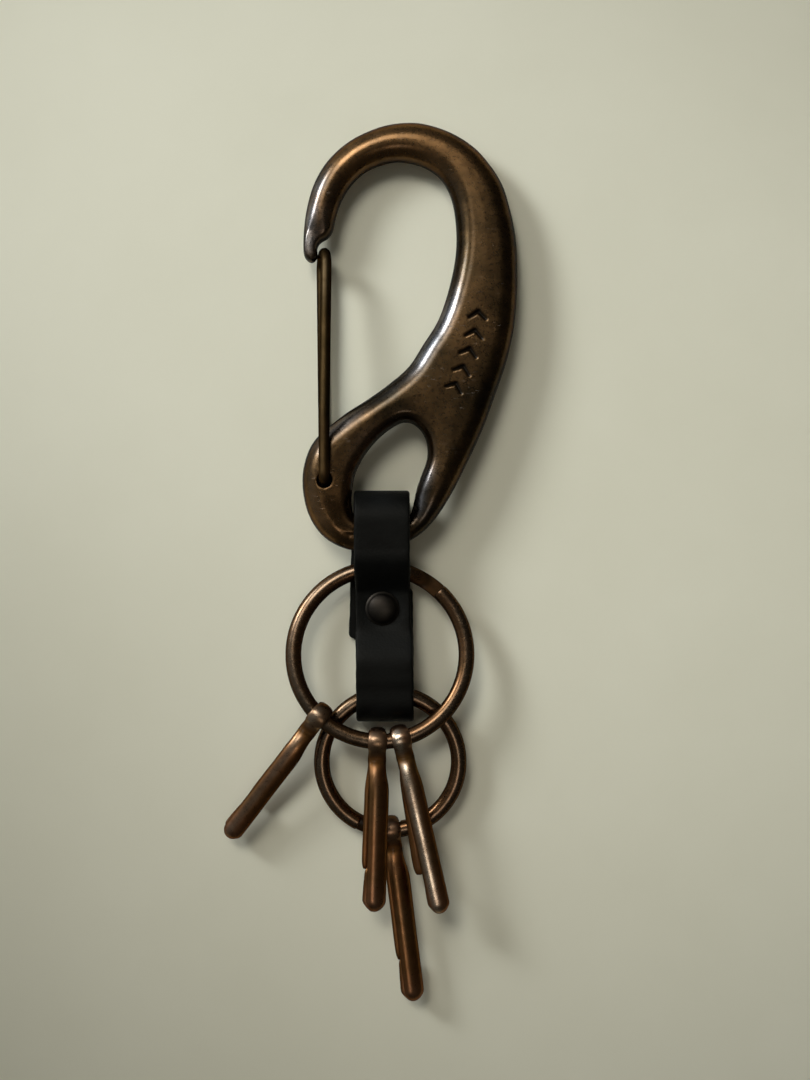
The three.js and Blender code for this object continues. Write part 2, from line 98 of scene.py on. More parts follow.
STRAP_WIDTH = 9.7
LEATHER = 1.8
STRAP_X = -4.0
STRAP_TOP = 8.8
STRAP_END = -32.2
TAB_END = -17.6
RETURN_END = -8.4
UPPER_LOOP = 3.6
LOWER_LOOP = 2.25
LAYER_GAP = 0.3
STRAP_CORNER = 1.2         # rounding of the strip's four corners, seen flat
STRAP_UNDERSIDE = -0.04    # its lowest point: the surface is just below the rivet's foot

RIVET_Y = -12.0
RIVET_RADIUS = 3.0

COIL_WIDTH = 2.75
COIL_LEVEL = 0.375         # height of each coil's widest line from the ring's middle
COIL_CROWN = 1.0           # from the widest line out to the coil's round face
COIL_FLAT = 0.3            # and in to its flat face
LARGE_RING = {"radius": 15.2, "slope": 7.8, "notch": 46}
SMALL_RING = {"radius": 12.1, "slope": -2.3, "notch": -118}

HOOK_WIDTH = 3.55
HOOK_STEP = 0.3            # spacing of the rows along a key hook
EYE_BORE = 1.7
EYE_STRIP = 0.8
CROWN_OUTSIDE, CROWN_INSIDE = 1.12, 0.88

SWEEP_STEP = 0.35          # spacing of the rows along the gate, the strap and the rings

# Where the drawing's own origin lies in the frame, found from the rivet.
post_low, post_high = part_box("rivet_post")
HOME = Vector((
    (post_low.x + post_high.x) / 2 - STRAP_X * MM,
    (post_low.y + post_high.y) / 2 - RIVET_Y * MM,
    post_low.z,
))
JOINTS = {joint["name"]: joint for joint in frame["joints"]}


def pivot(joint):
    """A joint's place, in the drawing's millimetres."""
    return (Vector(JOINTS[joint]["pos_m"]) - HOME) / MM


# ---- curves and sections ------------------------------------------------------------
def spline(points, spacing, closed=False):
    """Evenly spaced rows along a smooth curve through points. Columns after xyz ride along."""
    rows = np.asarray(points, float)
    if closed:
        padded = np.vstack([rows[-1], rows, rows[0], rows[1]])
    else:
        padded = np.vstack([2 * rows[0] - rows[1], rows, 2 * rows[-1] - rows[-2]])
    fine = []
    for p0, p1, p2, p3 in zip(padded, padded[1:], padded[2:], padded[3:]):
        steps = [math.sqrt(max(np.linalg.norm((b - a)[:3]), 1e-6))
                 for a, b in ((p0, p1), (p1, p2), (p2, p3))]
        t0, t1 = 0.0, steps[0]
        t2 = t1 + steps[1]
        t3 = t2 + steps[2]
        t = np.linspace(t1, t2, 16, endpoint=False)[:, None]
        a1 = (t1 - t) / (t1 - t0) * p0 + (t - t0) / (t1 - t0) * p1
        a2 = (t2 - t) / (t2 - t1) * p1 + (t - t1) / (t2 - t1) * p2
        a3 = (t3 - t) / (t3 - t2) * p2 + (t - t2) / (t3 - t2) * p3
        b1 = (t2 - t) / (t2 - t0) * a1 + (t - t0) / (t2 - t0) * a2
        b2 = (t3 - t) / (t3 - t1) * a2 + (t - t1) / (t3 - t1) * a3
        fine.append((t2 - t) / (t2 - t1) * b1 + (t - t1) / (t2 - t1) * b2)
    fine = np.vstack(fine + [rows[:1] if closed else rows[-1:]])
    lengths = np.linalg.norm(np.diff(fine[:, :3], axis=0), axis=1)
    travelled = np.concatenate([[0], np.cumsum(lengths)])
    count = max(2, round(travelled[-1] / spacing))
    places = np.linspace(0, travelled[-1], count + 1)
    if closed:
        places = places[:-1]
    return np.column_stack([np.interp(places, travelled, column) for column in fine.T])


def ease(start, end, t):
    """From start to end as t goes from 0 to 1, slow at both."""
    t = min(max(t, 0.0), 1.0)
    return start + (end - start) * t * t * (3 - 2 * t)


def oval(width, height, count):
    """Points of an oval section."""
    angles = 2 * math.pi * (np.arange(count) + 0.5) / count
    return np.column_stack([np.cos(angles) * width / 2, np.sin(angles) * height / 2])


def sweep(path, side, sections, end_round):
    """A closed skin along path, with rounded ends. Each section's first axis keeps to side."""
    tangents = np.gradient(path, axis=0)
    tangents /= np.linalg.norm(tangents, axis=1)[:, None]
    side = np.array(side, float)
    rings = []
    for point, tangent, section in zip(path, tangents, sections):
        across = side - tangent * side.dot(tangent)
        across /= np.linalg.norm(across)
        up = np.cross(tangent, across)
        rings.append(point + section[:, :1] * across + section[:, 1:] * up)
    thickness = [np.ptp(section, axis=0).min() / 2 for section in (sections[0], sections[-1])]
    caps = [[], []]
    for which, (ring, tangent, sign) in enumerate(
            ((rings[0], tangents[0], -1), (rings[-1], tangents[-1], 1))):
        centre = ring.mean(axis=0)
        for angle in np.radians([25, 50, 72]):
            shrink = 1 - min(1.0, end_round / thickness[which]) * 0.92 * (1 - math.cos(angle))
            shift = tangent * sign * end_round * math.sin(angle)
            caps[which].append(centre + (ring - centre) * shrink + shift)
    rings = caps[0][::-1] + rings + caps[1]
    return loft(rings)


def loft(rings):
    """A closed skin over rings of equally many points, with a flat face on each end."""
    size = len(rings[0])
    faces = []
    for row in range(len(rings) - 1):
        for k in range(size):
            a = row * size + k
            b = row * size + (k + 1) % size
            faces.append((a, b, b + size, a + size))
    last = (len(rings) - 1) * size
    faces.append(tuple(reversed(range(size))))
    faces.append(tuple(range(last, last + size)))
    return np.vstack(rings), faces


def turned(profile, sides, x, y):
    """A skin turned about an upright axis. The profile starts and ends on the axis."""
    angles = 2 * math.pi * np.arange(sides) / sides
    rings = [np.column_stack([x + r * np.cos(angles), y + r * np.sin(angles), np.full(sides, z)])
             for r, z in profile]
    return loft(rings)


# ---- objects ------------------------------------------------------------------------
def make_object(name, points, faces):
    """A mesh object in the drawing's millimetres, for work before it is placed."""
    mesh = bpy.data.meshes.new(name)
    mesh.from_pydata(np.asarray(points).tolist(), [], faces)
    mesh.validate()
    obj = bpy.data.objects.new(name, mesh)
    bpy.context.scene.collection.objects.link(obj)
    return obj


def face_outwards(mesh):
    bm = bmesh.new()
    bm.from_mesh(mesh)
    bmesh.ops.recalc_face_normals(bm, faces=bm.faces)
    bm.to_mesh(mesh)
    bm.free()


def read_points(mesh):
    points = np.zeros(len(mesh.vertices) * 3)
    mesh.vertices.foreach_get("co", points)
    return points.reshape(-1, 3)


def write_points(mesh, points):
    mesh.vertices.foreach_set("co", np.asarray(points, float).ravel())
    mesh.update()


def store(obj, name, values):
    """Keeps a value from 0 to 1 at each point, for the materials to read."""
    attribute = obj.data.attributes.new(name, "FLOAT", "POINT")
    attribute.data.foreach_set("value", np.clip(values, 0, 1).astype(np.float32))


def finish_piece(obj, material, body, node, turn=Matrix.Identity(4)):
    """Turns millimetres into the frame's metres, and ties the piece to the frame."""
    face_outwards(obj.data)
    obj.data.transform(Matrix.Translation(HOME) @ Matrix.Scale(MM, 4) @ turn)
    obj.data.polygons.foreach_set("use_smooth", [True] * len(obj.data.polygons))
    obj.data.materials.append(material)
    obj.data.update()
    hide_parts(node)
    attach(obj, body)


def sides_of(mesh):
    """How far each point faces sideways: 0 over the broad faces, 1 where the skin stands upright."""
    normals = np.zeros(len(mesh.vertices) * 3)
    mesh.vertices.foreach_get("normal", normals)
    return np.clip((0.62 - np.abs(normals.reshape(-1, 3)[:, 2])) / 0.45, 0, 1)


def spots(points, places):
    """How near each point is to any of some soft round places, each (x, y, radius, strength)."""
    nearness = np.zeros(len(points))
    for x, y, radius, strength in places:
        squared = (points[:, 0] - x) ** 2 + (points[:, 1] - y) ** 2
        nearness = np.maximum(nearness, strength * np.exp(-squared / radius ** 2))
    return nearness


# ---- materials ----------------------------------------------------------------------
def add(tree, kind, inputs=(), **settings):
    """A node with its settings, and its inputs given as {name or number: value or socket}."""
    node = tree.nodes.new(kind)
    for key, value in settings.items():
        setattr(node, key, value)
    for key, value in dict(inputs).items():
        if isinstance(value, bpy.types.NodeSocket):
            tree.links.new(value, node.inputs[key])
        else:
            node.inputs[key].default_value = value
    return node


def rgba(colour):
    """What a colour input takes: a socket as it is, or a grey or an rgb with its alpha."""
    if isinstance(colour, bpy.types.NodeSocket):
        return colour
    rgb = (colour,) * 3 if isinstance(colour, (int, float)) else colour
    return (*rgb, 1)


def ramp(tree, value, stops):
    """A ramp over value, with stops as (place, grey or colour)."""
    node = add(tree, "ShaderNodeValToRGB", {"Fac": value})
    elements = node.color_ramp.elements
    while len(elements) < len(stops):
        elements.new(0.5)
    for element, (place, colour) in zip(elements, stops):
        element.position = place
        element.color = rgba(colour)
    return node.outputs["Color"]


MIX_AMOUNT, MIX_FIRST, MIX_SECOND, MIX_RESULT = 0, 6, 7, 2    # a mix node's sockets for colours


def mix(tree, amount, first, second, kind="MIX"):
    inputs = {MIX_AMOUNT: amount, MIX_FIRST: rgba(first), MIX_SECOND: rgba(second)}
    node = add(tree, "ShaderNodeMix", inputs, data_type="RGBA", blend_type=kind)
    return node.outputs[MIX_RESULT]


def calc(tree, operation, first, second=0.0, clamp=False):
    node = add(tree, "ShaderNodeMath", {0: first, 1: second}, operation=operation)
    node.use_clamp = clamp
    return node.outputs[0]


def noise(tree, place, scale, detail=3.0, roughness=0.55):
    inputs = {"Vector": place, "Scale": scale, "Detail": detail, "Roughness": roughness}
    return add(tree, "ShaderNodeTexNoise", inputs).outputs["Fac"]


def stretched(tree, place, turn, scale):
    """Coordinates for marks drawn out along one direction, turned in the flat."""
    inputs = {"Vector": place, "Rotation": (0, 0, math.radians(turn)), "Scale": scale}
    return add(tree, "ShaderNodeMapping", inputs).outputs["Vector"]


def start_material(name):
    material = bpy.data.materials.new(name)
    material.use_nodes = True
    tree = material.node_tree
    shader = tree.nodes["Principled BSDF"]
    place = add(tree, "ShaderNodeTexCoord").outputs["Object"]
    return material, tree, shader, place


def scratches(tree, place, turns, density):
    """Fine straight scratches in a few directions, broken up so that they come and go."""
    total = None
    for turn in turns:
        lines = noise(tree, stretched(tree, place, turn, (420, 7000, 420)), 1.0, 1.0)
        marks = ramp(tree, lines, [(1 - density, 0.0), (min(1.0, 1.04 - density), 1.0)])
        total = marks if total is None else calc(tree, "MAXIMUM", total, marks)
    broken = ramp(tree, noise(tree, place, 260, 2.0), [(0.45, 0.0), (0.62, 1.0)])
    return calc(tree, "MULTIPLY", total, broken)


EDGE_TINT = (0.14, 0.10, 0.07)     # an oxide skin stays dark where it is seen edge on
COAT_ROUGHNESS = 0.14


def antique_metal(name, dark, warm, bright, rough, cloud, coat, bumps=1.0, speckle=0.75):
    """Cast or rolled bronze under a dark antique finish, rubbed bright in places with painted highlights
    there, and darkened by pits, by patina in hollows and by painted shade.
    """
    material, tree, shader, place = start_material(name)
    clouds = noise(tree, place, cloud, 4.0, 0.6)
    grain = noise(tree, place, 1500, 5.0, 0.65)
    mottle = noise(tree, place, 420, 4.0, 0.6)
    worn_and_highlit = add(tree, "ShaderNodeAttribute", attribute_name="rub_and_highlight").outputs["Fac"]
    ruddy_and_sheen = add(tree, "ShaderNodeAttribute", attribute_name="ruddy_and_sheen").outputs["Fac"]
    grime_and_shade = add(tree, "ShaderNodeAttribute", attribute_name="grime_and_shade").outputs["Fac"]

    # Warmer, lighter tone: partly the finish's own, and partly a painted sheen on the cast hook's crown,
    # lobe and nose.
    warmth = calc(tree, "ADD", calc(tree, "MULTIPLY", ruddy_and_sheen, 0.8), clouds)
    colour = mix(tree, ramp(tree, warmth, [(0.42, 0.0), (0.95, 1.0)]), dark, warm)
    speckled = ramp(tree, mottle, [(0.3, 0.62), (0.62, 1.12)])
    colour = mix(tree, speckle, colour, speckled, "MULTIPLY")

    # Rubbed bare metal and painted highlights: this mask lightens the colour towards the bright tone,
    # partly where the finish is really rubbed and partly where highlights are painted along edges and
    # ridges.
    rub_and_highlight = calc(tree, "MULTIPLY", worn_and_highlit, ramp(tree, mottle, [(0.22, 0.35), (0.6, 1.0)]))
    marks = scratches(tree, place, (24, -38, 81), 0.26)
    bare_and_highlit = calc(tree, "MAXIMUM", rub_and_highlight, calc(tree, "MULTIPLY", marks, 0.16))
    colour = mix(tree, bare_and_highlit, colour, bright)

    cells = add(tree, "ShaderNodeTexVoronoi", {"Vector": place, "Scale": 620.0})
    pits = ramp(tree, cells.outputs["Distance"], [(0.05, 1.0), (0.16, 0.0)])
    pits = calc(tree, "MULTIPLY", pits, ramp(tree, clouds, [(0.5, 0.0), (0.66, 1.0)]))
    # Painted shade: this darkens the colour towards a fraction of the dark tone on upright sides, round
    # the gate's holes, in the rings' seams and along the key hooks, as well as in real pits and the
    # chevrons' patina.
    pits_and_shade = calc(tree, "MAXIMUM", calc(tree, "MULTIPLY", pits, 0.7), grime_and_shade)
    colour = mix(tree, pits_and_shade, colour, tuple(0.15 * c for c in dark))
    tree.links.new(colour, shader.inputs["Base Color"])

    low, high = rough
    dull = calc(tree, "MULTIPLY", calc(tree, "SUBTRACT", grain, 0.5), 0.28)
    gloss = ramp(tree, bare_and_highlit, [(0.0, high), (1.0, low)])
    shine = calc(tree, "ADD", gloss, dull)
    shine = calc(tree, "ADD", shine, calc(tree, "MULTIPLY", pits_and_shade, 0.4), clamp=True)
    tree.links.new(shine, shader.inputs["Roughness"])

    coarse = calc(tree, "MULTIPLY", mottle, 0.8)
    height = calc(tree, "ADD", calc(tree, "MULTIPLY", grain, 0.35), coarse)
    height = calc(tree, "SUBTRACT", height, calc(tree, "MULTIPLY", pits, 1.2))
    height = calc(tree, "SUBTRACT", height, calc(tree, "MULTIPLY", marks, 0.4))
    bump = add(tree, "ShaderNodeBump", {"Height": height, "Strength": 0.5 * bumps, "Distance": 0.00004})
    tree.links.new(bump.outputs["Normal"], shader.inputs["Normal"])
    shader.inputs["Metallic"].default_value = 1.0
    shader.inputs["Specular Tint"].default_value = (*EDGE_TINT, 1)
    shader.inputs["Coat Weight"].default_value = coat
    shader.inputs["Coat Roughness"].default_value = COAT_ROUGHNESS
    return material


def black_leather():
    """Dyed leather with a fine pebble, creases across it, and paler fibrous cut edges."""
    material, tree, shader, place = start_material("black_leather")
    pebble = add(tree, "ShaderNodeTexVoronoi", {"Vector": place, "Scale": 2300.0, "Randomness": 1.0})
    cells = ramp(tree, pebble.outputs["Distance"], [(0.0, 1.0), (0.75, 0.0)])
    pores = noise(tree, place, 5200, 3.0)
    cloud = noise(tree, place, 170, 4.0, 0.6)
    edge = add(tree, "ShaderNodeAttribute", attribute_name="cut").outputs["Fac"]
    crease = add(tree, "ShaderNodeAttribute", attribute_name="crease").outputs["Fac"]

    faded = ramp(tree, cloud, [(0.35, 0.0), (0.7, 1.0)])
    face = mix(tree, faded, (0.0013, 0.0014, 0.0012), (0.0038, 0.0040, 0.0034))
    face = mix(tree, calc(tree, "MULTIPLY", crease, 0.5), face, (0.008, 0.009, 0.009))
    fibre = noise(tree, stretched(tree, place, 0, (900, 900, 5200)), 1.0, 4.0, 0.7)
    frayed = ramp(tree, fibre, [(0.35, 0.0), (0.68, 1.0)])
    fibres = mix(tree, frayed, (0.010, 0.011, 0.011), (0.050, 0.051, 0.046))
    colour = mix(tree, edge, face, fibres)
    tree.links.new(colour, shader.inputs["Base Color"])

    shine = ramp(tree, cloud, [(0.3, 0.46), (0.7, 0.6)])
    shine = calc(tree, "ADD", shine, calc(tree, "MULTIPLY", edge, 0.25), clamp=True)
    tree.links.new(shine, shader.inputs["Roughness"])

    height = calc(tree, "ADD", calc(tree, "MULTIPLY", cells, 0.7), calc(tree, "MULTIPLY", pores, 0.35))
    wrinkle = noise(tree, stretched(tree, place, 4, (260, 1500, 260)), 1.0, 3.0)
    height = calc(tree, "ADD", height, calc(tree, "MULTIPLY", wrinkle, calc(tree, "ADD", crease, 0.35)))
    height = calc(tree, "ADD", height, calc(tree, "MULTIPLY", calc(tree, "MULTIPLY", fibre, edge), 2.2))
    bump = add(tree, "ShaderNodeBump", {"Height": height, "Strength": 0.55, "Distance": 0.00006})
    tree.links.new(bump.outputs["Normal"], shader.inputs["Normal"])
    shader.inputs["Specular IOR Level"].default_value = 0.11
    shader.inputs["Specular Tint"].default_value = (1.0, 0.96, 0.86, 1)
    return material


# Each metal's third colour is its bright tone. The bronze's is bluish, the colour of the highlights
# painted with it.
BRONZE = antique_metal(
    "dark_bronze", (0.034, 0.023, 0.010), (0.205, 0.110, 0.044), (0.42, 0.45, 0.49),
    rough=(0.16, 0.29), cloud=75, coat=0.25)
GATE_BRASS = antique_metal(
    "gate_wire", (0.038, 0.023, 0.008), (0.070, 0.040, 0.015), (0.28, 0.24, 0.17),
    rough=(0.30, 0.50), cloud=160, coat=0.0, bumps=0.5)
RING_BRONZE = antique_metal(
    "ring_bronze", (0.064, 0.040, 0.015), (0.130, 0.060, 0.022), (0.42, 0.39, 0.33),
    rough=(0.20, 0.26), cloud=130, coat=0.10, bumps=0.12, speckle=0.25)
COPPER = antique_metal(
    "copper_bronze", (0.140, 0.072, 0.020), (0.230, 0.085, 0.024), (0.66, 0.56, 0.44),
    rough=(0.24, 0.32), cloud=130, coat=0.06, bumps=0.2, speckle=0.4)
RIVET_DARK = antique_metal(
    "dark_rivet", (0.022, 0.019, 0.016), (0.040, 0.032, 0.025), (0.17, 0.15, 0.12),
    rough=(0.36, 0.50), cloud=300, coat=0.0, bumps=0.4, speckle=0.4)
LEATHER_BLACK = black_leather()

# ---- the cast hook ------------------------------------------------------------------
# The outline runs from the nose's tip up its outer side, over the crown, down the
# spine, under the bar, up round the lobe and back along the hook's inner side.
HOOK_OUTLINE = [
    (-16.5, 48.9), (-17.6, 49.7), (-17.9, 53.0), (-17.4, 58.1), (-16.0, 63.0), (-13.6, 67.0),
    (-10.0, 70.3), (-5.7, 72.5), (-2.1, 73.5), (1.9, 73.7), (5.4, 73.0), (9.2, 71.4),
    (12.6, 69.0), (15.1, 66.1), (17.1, 62.9), (18.5, 58.5), (19.5, 53.5), (19.8, 48.3),
    (19.7, 42.5), (19.1, 36.8), (17.8, 31.2), (15.9, 25.6), (13.7, 19.6), (10.9, 13.5),
    (8.0, 7.8), (5.0, 3.3), (2.1, 0.6), (-1.8, -1.2), (-5.5, -1.9), (-8.7, -1.9),
    (-11.8, -1.0), (-14.6, 0.9), (-16.7, 4.0), (-17.8, 7.9), (-17.9, 12.0), (-16.8, 15.9),
    (-15.1, 18.4), (-13.0, 20.2), (-10.3, 22.3), (-6.7, 24.6), (-3.2, 27.1), (0.6, 30.4),
    (3.2, 34.4), (5.8, 38.6), (7.8, 44.5), (8.9, 50.1), (9.0, 55.1), (8.1, 60.4),
    (6.3, 63.7), (4.0, 65.5), (1.3, 66.5), (-1.6, 66.8), (-4.7, 66.1), (-7.4, 64.7),
    (-9.8, 62.2), (-11.4, 59.3), (-12.3, 56.4), (-12.7, 54.5), (-13.5, 53.3), (-14.9, 52.4),
    (-15.45, 51.4), (-15.45, 49.7),
]
EYE_OUTLINE = [
    (-0.3, 20.6), (-2.4, 19.6), (-5.0, 17.4), (-7.2, 14.6), (-8.7, 11.6), (-9.3, 8.4),
    (-9.3, 5.6), (-8.8, 4.2), (-7.6, 3.6), (-4.0, 3.5), (-0.6, 3.6), (0.8, 4.3),
    (1.4, 6.0), (2.0, 8.8), (2.9, 11.4), (3.9, 14.4), (3.8, 17.0), (2.9, 19.0), (1.3, 20.4),
]


def boundary(corners):
    """An outline's points, evenly spaced, with the direction into the metal at each."""
    loop = spline([(x, y, 0.0) for x, y in corners], 0.5, closed=True)[:, :2]
    along = np.roll(loop, -1, axis=0) - np.roll(loop, 1, axis=0)
    along /= np.linalg.norm(along, axis=1)[:, None]
    return loop, np.column_stack([along[:, 1], -along[:, 0]])


def room(loop, inward, walls):
    """The radius of the largest circle that touches the wall at each point from inside."""
    offset = walls[None, :, :] - loop[:, None, :]
    depth = np.einsum("ijk,ik->ij", offset, inward)
    squared = (offset ** 2).sum(axis=2)
    return np.where(depth > 1e-6, squared / (2 * np.maximum(depth, 1e-6)), np.inf).min(axis=1)


def smoothed(values, passes):
    """Values round a loop with their peaks worn down. None of them is raised."""
    for _ in range(passes):
        blurred = (np.roll(values, 1) + 2 * values + np.roll(values, -1)) / 4
        values = np.minimum(values, blurred)
    return values


def upright_pin(name, x, y, radius, low, high):
    """A plain pin, for drilling a hole."""
    points, faces = turned([(0.01, low), (radius, low), (radius, high), (0.01, high)], 40, x, y)
    return make_object(name, points, faces)


ROUNDED_SHARE = 0.88       # how much of the room inside an edge its rounding takes
BEAK_SHARE = 0.45          # and how much less of it at the nose's tip
EDGE_ROWS = 19


def rough_casting():
    """The hook's skin, as rows over its rounded edges from one broad face to the other."""
    loops = [boundary(HOOK_OUTLINE), boundary(EYE_OUTLINE)]
    walls = np.vstack([loop for loop, _ in loops])
    points, faces, brims = [], [], []
    count = 0
    for (loop, inward), widest in zip(loops, (BODY_ROUND, EYE_ROUND)):
        space = room(loop, inward, walls)
        beak = np.clip((NOSE_EDGE["y"] - loop[:, 1]) / 3, 0, 1) * (loop[:, 0] < NOSE_EDGE["x"])
        beak *= loop[:, 1] > 40
        rounds = smoothed(np.minimum(widest, (ROUNDED_SHARE - BEAK_SHARE * beak) * space), 40)
        bar_way = np.hypot(loop[:, 0] - BAR["x"], loop[:, 1] - BAR["y"])
        most = np.minimum(BODY_HALF, BAR["half"] + 0.5 * np.maximum(0, bar_way - BAR["reach"]))
        heights = smoothed(np.clip(0.6 + 0.85 * space, BODY_THIN, most), 30)
        fronts = smoothed(np.maximum(heights, NOSE_FRONT * (beak > 0)), 12)
        size = len(loop)
        angles = np.radians(np.linspace(-90, 90, EDGE_ROWS))
        for row, angle in enumerate(angles):
            flat = loop + inward * (rounds * (1 - math.cos(angle)))[:, None]
            reach = fronts if angle > 0 else heights
            points.append(np.column_stack([flat, reach * math.sin(angle)]))
            for k in range(size if row else 0):
                a = count + row * size + k
                b = count + row * size + (k + 1) % size
                faces.append((a, b, b - size, a - size))
        brims.append((flat, count, count + (EDGE_ROWS - 1) * size))
        count += EDGE_ROWS * size
    flats = [[Vector((x, y, 0)) for x, y in flat] for flat, _, _ in brims]
    low = [first + k for flat, first, _ in brims for k in range(len(flat))]
    high = [last + k for flat, _, last in brims for k in range(len(flat))]
    for a, b, c in tessellate_polygon(flats):
        faces.append((low[a], low[b], low[c]))
        faces.append((high[a], high[c], high[b]))
    obj = make_object("cast_hook", np.vstack(points), faces)
    face_outwards(obj.data)
    return obj, walls


# A plain row of chevrons is cut up the spine. Each one's point is on this line and heads
# for the next, so the last place has no chevron.
CHEVRON_LINE = [(8.9, 27.2), (10.2, 30.2), (11.3, 33.3), (12.2, 36.5), (12.8, 39.8), (13.2, 43.2)]
CHEVRON_ARM = 1.9
CHEVRON_SPREAD = 50        # degrees from each arm to the line
GROOVE_WIDTH = 0.8
GROOVE_DEPTH = 0.5


def groove_depth(points):
    """How deep the chevrons' V grooves go at each point."""
    depth = np.zeros(len(points))
    for (x, y), (next_x, next_y) in zip(CHEVRON_LINE, CHEVRON_LINE[1:]):
        heading = math.atan2(next_y - y, next_x - x)
        for side in (-1, 1):
            arm = heading + math.pi - side * math.radians(CHEVRON_SPREAD)
            direction = np.array([math.cos(arm), math.sin(arm)])
            offset = points[:, :2] - np.array([x, y])
            along = np.clip(offset @ direction, 0, CHEVRON_ARM)
            away = np.linalg.norm(offset - along[:, None] * direction, axis=1)
            taper = 1 - 0.45 * along / CHEVRON_ARM
            wall = np.clip(1 - away / (GROOVE_WIDTH / 2 * (0.55 + 0.45 * taper)), 0, 1)
            depth = np.maximum(depth, GROOVE_DEPTH * taper * wall ** 0.8)
    return depth


# Where the hook is rubbed bright, with painted highlights along its edges there, and where its finish is
# warmest, partly a painted sheen: soft round places, each (x, y, radius, strength).
HANDLED_AND_HIGHLIT = [
    (-18.4, 57.0, 3.6, 1.0), (-16.8, 62.6, 3.0, 0.6), (5.6, 39.6, 4.4, 1.0), (2.2, 33.8, 4.5, 0.9),
    (-3.0, 27.5, 5.0, 0.1), (2.8, 11.0, 2.6, 0.6), (1.6, 6.5, 2.4, 0.6),
    (-12.0, 20.5, 4.5, 0.4), (-17.4, 52.0, 2.2, 0.5),
]
# Warm, lighter places on the cast hook, partly its own tone and partly a painted sheen.
WARMEST_AND_SHEEN = [
    (1.0, 70.0, 8.0, 0.75), (12.0, 67.0, 6.0, 0.5), (-15.0, 3.0, 7.0, 0.6), (-8.0, 67.0, 6.0, 0.6),
    (-14.2, 57.5, 4.0, 0.45), (-13.8, 9.8, 2.4, 0.6),
]
CROWN_REACH = 6.0          # the broad faces rise this far in from their edges
CROWN_RISE = 0.10          # by this share of their height


def cast_hook():
    obj, walls = rough_casting()
    hole_floor = BODY_HALF - GATE_HOLE_DEPTH
    pins = [
        upright_pin("front_pin", *GATE_FRONT, GATE_HOLE, hole_floor, BODY_HALF + 1),
        upright_pin("back_pin", *GATE_BACK, GATE_HOLE, -BODY_HALF - 1, -hole_floor),
    ]
    for pin in pins:
        drill = obj.modifiers.new(pin.name, "BOOLEAN")
        drill.operation = "DIFFERENCE"
        drill.solver = "EXACT"
        drill.object = pin
    remesh = obj.modifiers.new("cast", "REMESH")
    remesh.mode = "VOXEL"
    remesh.voxel_size = CAST_GRAIN
    soften = obj.modifiers.new("soften", "SMOOTH")
    soften.factor = 0.5
    soften.iterations = 3
    depsgraph = bpy.context.evaluated_depsgraph_get()
    smooth = bpy.data.meshes.new_from_object(obj.evaluated_get(depsgraph))
    obj.modifiers.clear()
    obj.data = smooth
    for pin in pins:
        bpy.data.objects.remove(pin)

    points = read_points(smooth)
    tree = KDTree(len(walls))
    for i, (x, y) in enumerate(walls):
        tree.insert((x, y, 0), i)
    tree.balance()
    inside = np.array([tree.find((x, y, 0))[2] for x, y, _ in points])
    crown = 1 - np.clip(1 - inside / CROWN_REACH, 0, 1) ** 2
    points[:, 2] *= 1 - CROWN_RISE + CROWN_RISE * crown
    on_front = points[:, 2] > 1.5
    grooves = np.where(on_front, groove_depth(points), 0)
    points[:, 2] -= grooves
    write_points(smooth, points)

    # Painted highlight: at these places the colour is lightened in a band just inside the edges, beside
    # real rubbing.
    rim = np.exp(-((inside - 1.3) / 1.1) ** 2)
    handled_and_highlit = spots(points, HANDLED_AND_HIGHLIT)
    cut = np.clip(grooves / 0.12, 0, 1)
    store(obj, "rub_and_highlight", 0.62 * handled_and_highlit * rim * (1 - cut))
    # Painted shade on the upright sides and round the gate's holes, together with dark patina in the
    # chevrons' grooves.
    drilled = np.maximum.reduce([
        np.clip((GATE_HOLE + 0.25 - np.hypot(points[:, 0] - x, points[:, 1] - y)) / 0.3, 0, 1)
        * (points[:, 2] * side > 0)
        for (x, y), side in ((GATE_FRONT, 1), (GATE_BACK, -1))])
    shaded = sides_of(smooth) * (1 - handled_and_highlit)
    store(obj, "grime_and_shade", np.maximum.reduce([0.95 * cut, 0.9 * drilled, 0.85 * shaded]))
    store(obj, "ruddy_and_sheen", spots(points, WARMEST_AND_SHEEN))
    finish_piece(obj, BRONZE, "carabiner", "carabiner_body", body_turn())


def body_turn():
    """From the cast hook's own middle plane to how it lies."""
    return Matrix.Translation((0, 0, BODY_LIFT)) @ Matrix.Rotation(math.radians(BODY_PITCH), 4, "X")


